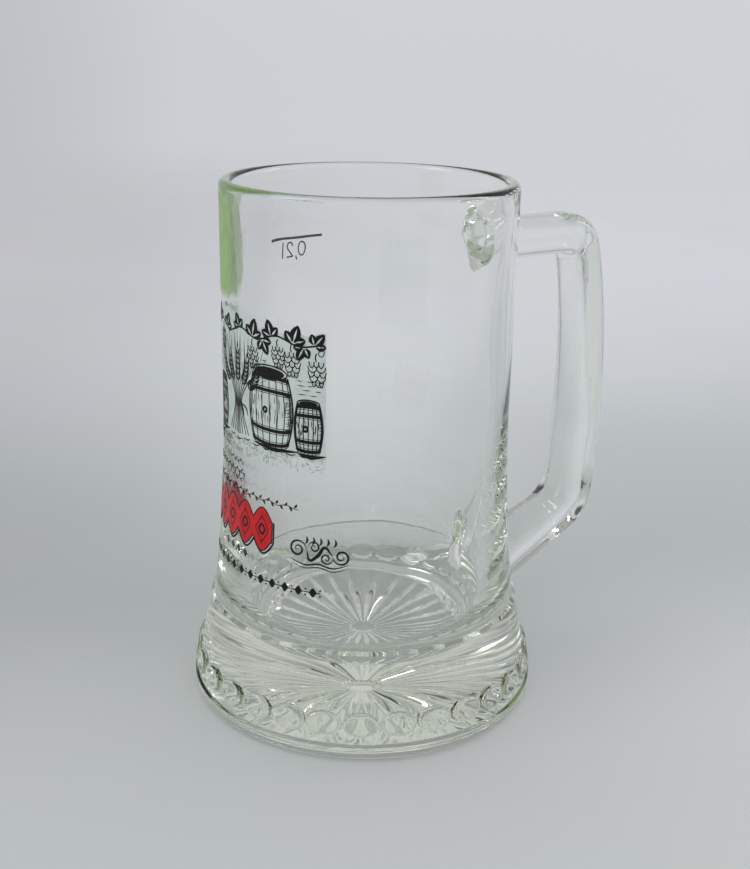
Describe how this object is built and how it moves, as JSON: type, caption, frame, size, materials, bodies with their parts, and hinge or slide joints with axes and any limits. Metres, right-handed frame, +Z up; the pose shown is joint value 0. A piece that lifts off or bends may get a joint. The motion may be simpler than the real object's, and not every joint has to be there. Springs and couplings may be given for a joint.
{
  "type": "beer mug",
  "caption": "Small pressed glass beer mug with a flared pearl-ringed foot, star-pattern underside, fused glass handle and fired enamel decoration with a fill line.",
  "frame": {"origin": "under the middle of the mug's whole outline, on the surface it stands on; the vessel's axis lies 14.4 mm from it towards -X", "axes": "+Z up along the vessel's axis, +X towards the handle, +Y across the handle"},
  "size_m": [0.107, 0.0782, 0.1155],
  "materials": {
    "clear_glass": "clear fire-polished soda-lime glass with a slight green tint",
    "pale_enamel": "thin translucent pale green-white fired enamel",
    "green_enamel": "light yellow-green fired enamel, satin",
    "red_enamel": "bright red fired enamel, satin",
    "black_enamel": "black fired enamel, satin"
  },
  "bodies": {
    "root": {"glass_body": "clear_glass", "handle": "clear_glass", "enamel_picture_ground": "pale_enamel", "enamel_side_panel": "green_enamel", "enamel_ribbon": "red_enamel", "enamel_scroll": "black_enamel", "enamel_border_band": "black_enamel", "enamel_fill_line": "black_enamel"}
  },
  "joints": []
}
